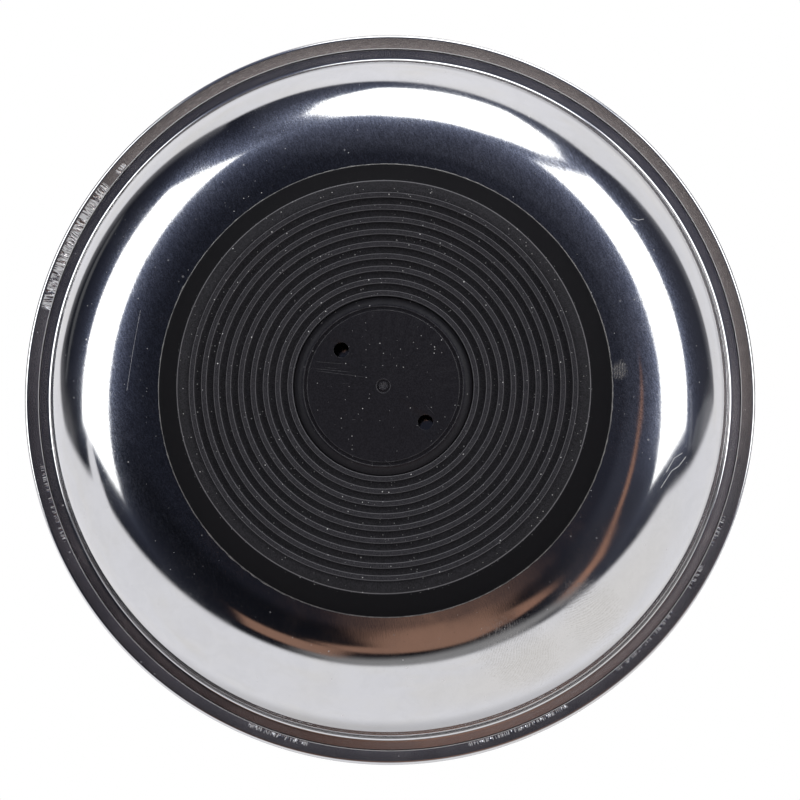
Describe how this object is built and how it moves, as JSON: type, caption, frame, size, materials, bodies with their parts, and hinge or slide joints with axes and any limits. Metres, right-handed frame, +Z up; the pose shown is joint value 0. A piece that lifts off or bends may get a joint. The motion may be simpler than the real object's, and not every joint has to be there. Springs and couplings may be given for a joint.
{
  "type": "magnetic parts tray",
  "caption": "Round polished steel bowl with a hemmed rim on a ribbed rubber-covered ring magnet, which grips steel surfaces and holds small steel parts.",
  "frame": {"origin": "on the tray's axis, on the plane of the rib tops that it stands on", "axes": "+Z up the tray's axis, out of the mouth of the bowl; +X through the two vent holes of the centre plug"},
  "size_m": [0.1516, 0.1516, 0.04],
  "materials": {
    "stainless": "polished",
    "adhesive": "satin",
    "ferrite": "matte",
    "boot_rubber": "matte",
    "plug_plastic": "satin"
  },
  "bodies": {
    "root": {"bowl": "stainless", "magnet_bond": "adhesive", "magnet_ring": "ferrite", "boot_bond": "adhesive", "boot": "boot_rubber", "centre_plug": "plug_plastic"}
  },
  "joints": []
}
